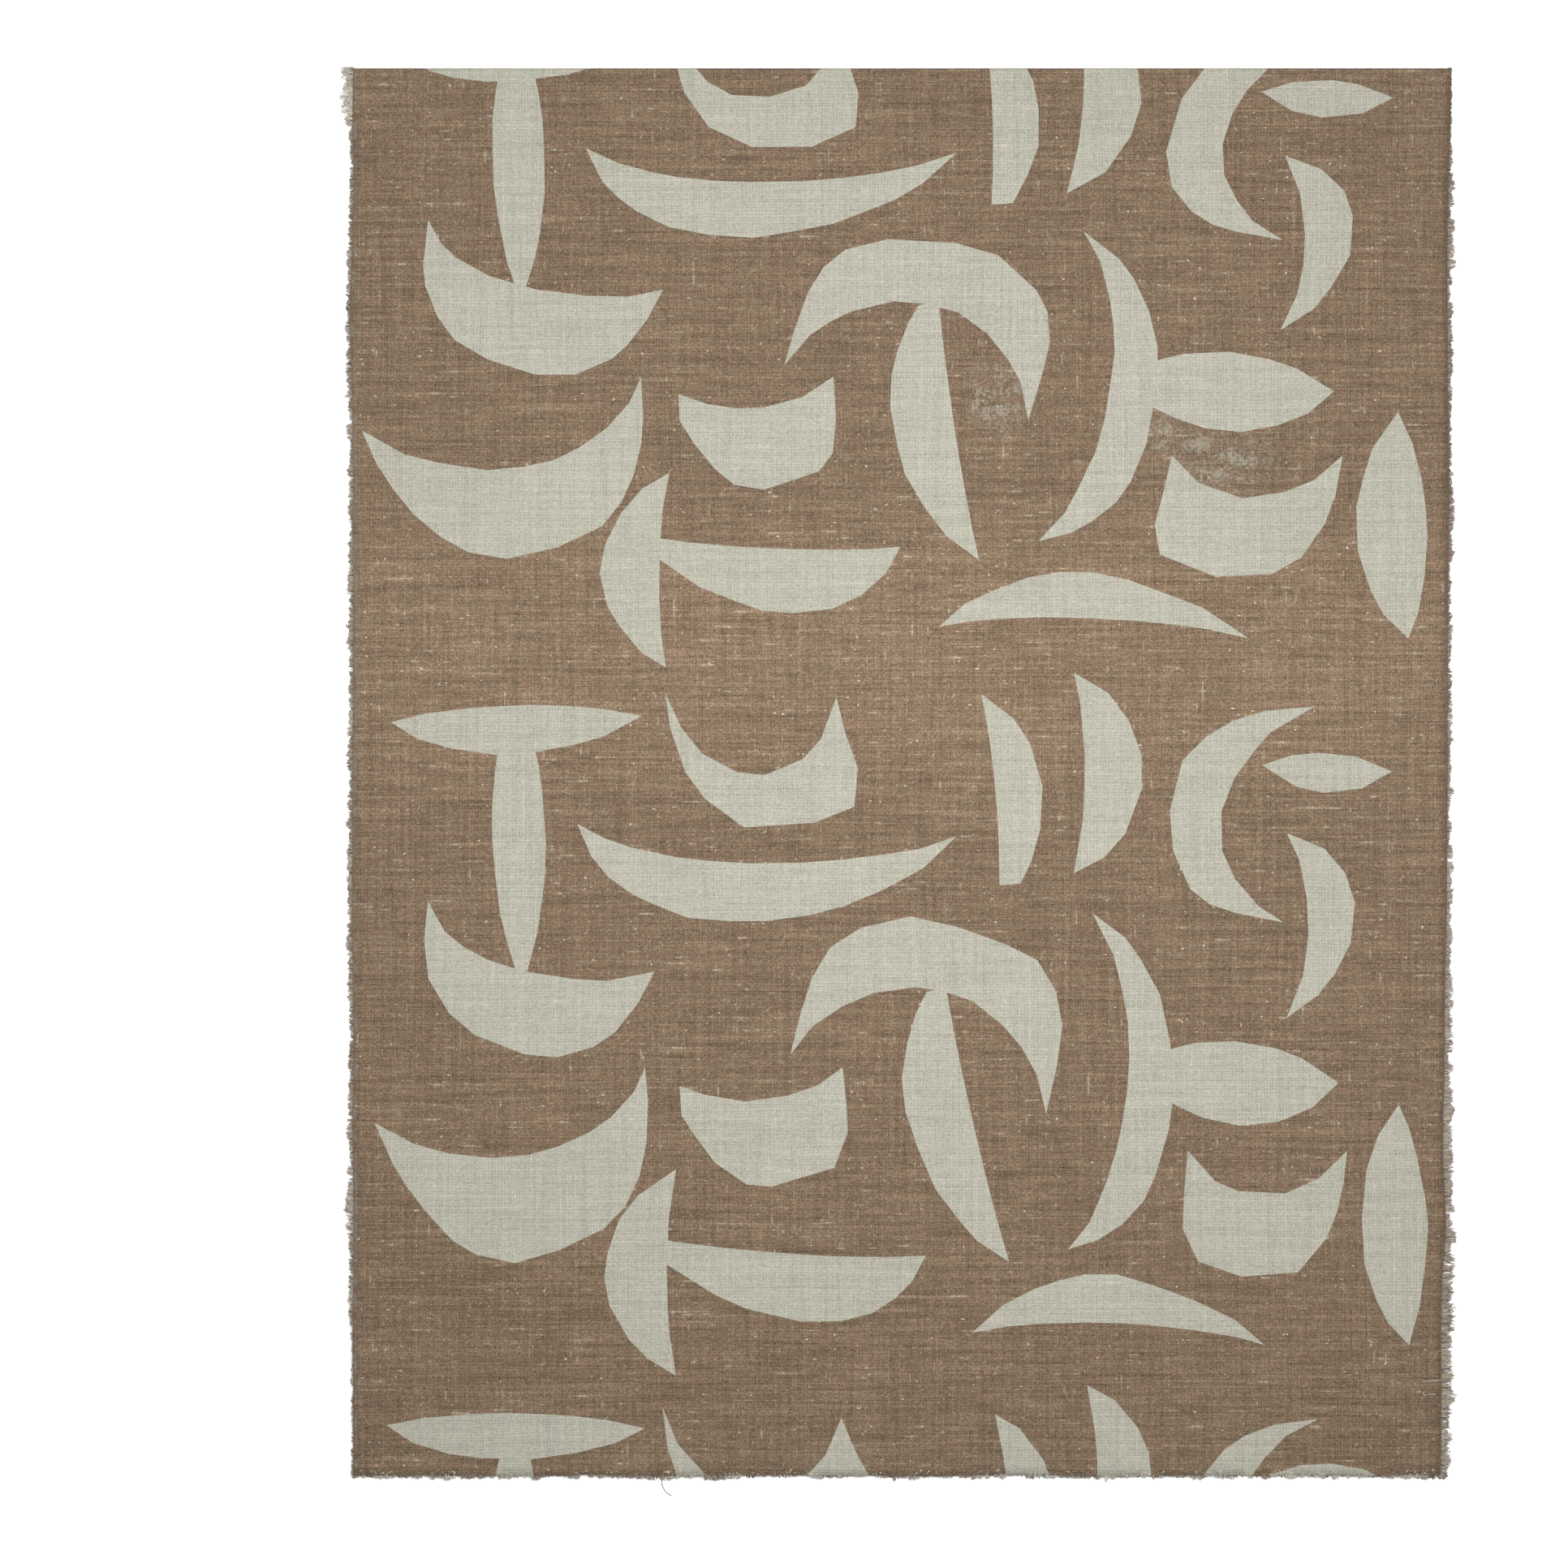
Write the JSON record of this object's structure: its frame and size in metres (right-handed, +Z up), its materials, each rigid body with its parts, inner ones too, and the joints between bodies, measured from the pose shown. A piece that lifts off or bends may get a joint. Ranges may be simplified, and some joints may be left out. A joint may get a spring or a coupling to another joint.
{
  "type": "table runner",
  "caption": "Plain-weave linen table runner with a printed ground and bare-cloth crescents, frayed edges, folded once and laid flat.",
  "frame": {"origin": "centre of the folded runner's footprint, on the table", "axes": "+X across the cloth, +Y along it towards the fold, +Z up with the printed face of the front half on top"},
  "size_m": [0.3592, 0.4572, 0.0022],
  "materials": {
    "printed_linen": "matt plain-weave linen with a pigment print",
    "linen_fringe": "loose undyed linen yarn ends",
    "binder_thread": "fine twisted binding thread"
  },
  "bodies": {
    "back_half": {"back_panel": "printed_linen", "back_end_fringe": "linen_fringe", "back_binder_left": "binder_thread", "back_fringe_left": "linen_fringe", "back_binder_right": "binder_thread", "back_fringe_right": "linen_fringe", "fold_panel": "printed_linen", "fold_binder_left": "binder_thread", "fold_fringe_left": "linen_fringe", "fold_binder_right": "binder_thread", "fold_fringe_right": "linen_fringe"},
    "front_half": {"front_panel": "printed_linen", "front_end_fringe": "linen_fringe", "front_binder_left": "binder_thread", "front_fringe_left": "linen_fringe", "front_binder_right": "binder_thread", "front_fringe_right": "linen_fringe"}
  },
  "joints": [
    {"name": "unfold", "type": "hinge", "parent": "back_half", "child": "front_half", "pos_m": [0, 0.2275, 0.0011], "axis": [-1, 0, 0], "range_deg": [0, 179.9], "deforming": ["fold_panel", "fold_binder_left", "fold_fringe_left", "fold_binder_right", "fold_fringe_right"]}
  ]
}
